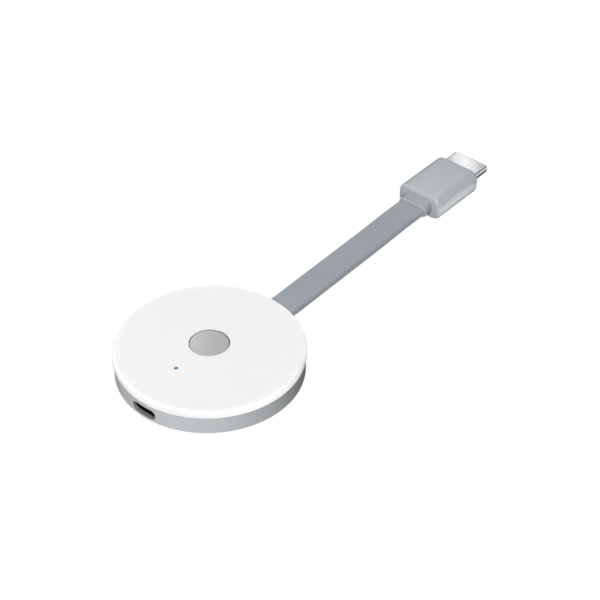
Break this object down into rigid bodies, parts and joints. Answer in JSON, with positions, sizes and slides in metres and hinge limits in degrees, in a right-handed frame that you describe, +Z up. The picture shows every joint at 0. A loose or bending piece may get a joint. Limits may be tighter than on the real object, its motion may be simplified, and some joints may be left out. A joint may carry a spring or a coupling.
{
  "type": "wireless video transmitter",
  "caption": "Round flat wireless video sender with a domed cover, centre push button, small power port in its side band and a short flat cable ending in a rigid video plug.",
  "frame": {"origin": "centre of the disc's round footprint, on the surface that the disc and the plug rest on", "axes": "+Z up through the button, +Y along the flat cable to the plug, and the power port faces -Y"},
  "size_m": [0.0604, 0.1673, 0.0105],
  "materials": {
    "cover_white": "satin gloss",
    "band_grey": "satin",
    "pad_rubber": "matte",
    "button_grey": "satin",
    "light_blue": "gloss",
    "screw_steel": "satin",
    "board_green": "satin",
    "chip_black": "matte",
    "tinned_metal": "satin",
    "antenna_metal": "satin",
    "coil_dark": "matte",
    "capacitor_tan": "matte",
    "resistor_black": "satin",
    "lamp_lens": "gloss",
    "switch_black": "matte",
    "plunger_white": "satin",
    "spreader_aluminium": "satin",
    "thermal_soft": "matte",
    "port_metal": "satin",
    "tongue_black": "satin",
    "contact_gold": "gloss",
    "anchor_grey": "matte",
    "wire_insulation": "satin",
    "cable_grey": "satin",
    "plug_grey": "satin",
    "plug_metal": "satin",
    "liner_black": "satin",
    "block_cream": "satin"
  },
  "bodies": {
    "housing": {"top_cover": "cover_white", "base_housing": "band_grey", "foot_pad": "pad_rubber", "screws": "screw_steel", "light_pipe": "light_blue", "main_board": "board_green", "video_chip": "chip_black", "memory_chip": "chip_black", "radio_chip": "chip_black", "radio_shield": "tinned_metal", "antennas": "antenna_metal", "crystal": "tinned_metal", "power_inductors": "coil_dark", "capacitors": "capacitor_tan", "resistors": "resistor_black", "status_led": "lamp_lens", "switch_case": "switch_black", "snap_dome": "tinned_metal", "heat_spreader": "spreader_aluminium", "thermal_pad": "thermal_soft", "port_shell": "port_metal", "port_tongue": "tongue_black", "port_contacts": "contact_gold", "cable_anchor": "anchor_grey", "cable_wires": "wire_insulation", "flat_cable": "cable_grey", "plug_body": "plug_grey", "plug_shell": "plug_metal", "plug_liner": "liner_black", "plug_contacts": "contact_gold", "plug_board": "board_green", "plug_inner_block": "block_cream"},
    "button": {"button": "button_grey"},
    "switch_plunger": {"switch_plunger": "plunger_white"}
  },
  "joints": [
    {"name": "button_press", "type": "slide", "parent": "housing", "child": "button", "axis": [0, 0, -1], "range_m": [0, 0.00035], "stiffness_N_per_m": 1500},
    {"name": "plunger_press", "type": "slide", "parent": "housing", "child": "switch_plunger", "axis": [0, 0, -1], "range_m": [0, 0.00035]}
  ],
  "couplings": [
    {"joint": "plunger_press", "follows": "button_press", "ratio": 1}
  ]
}
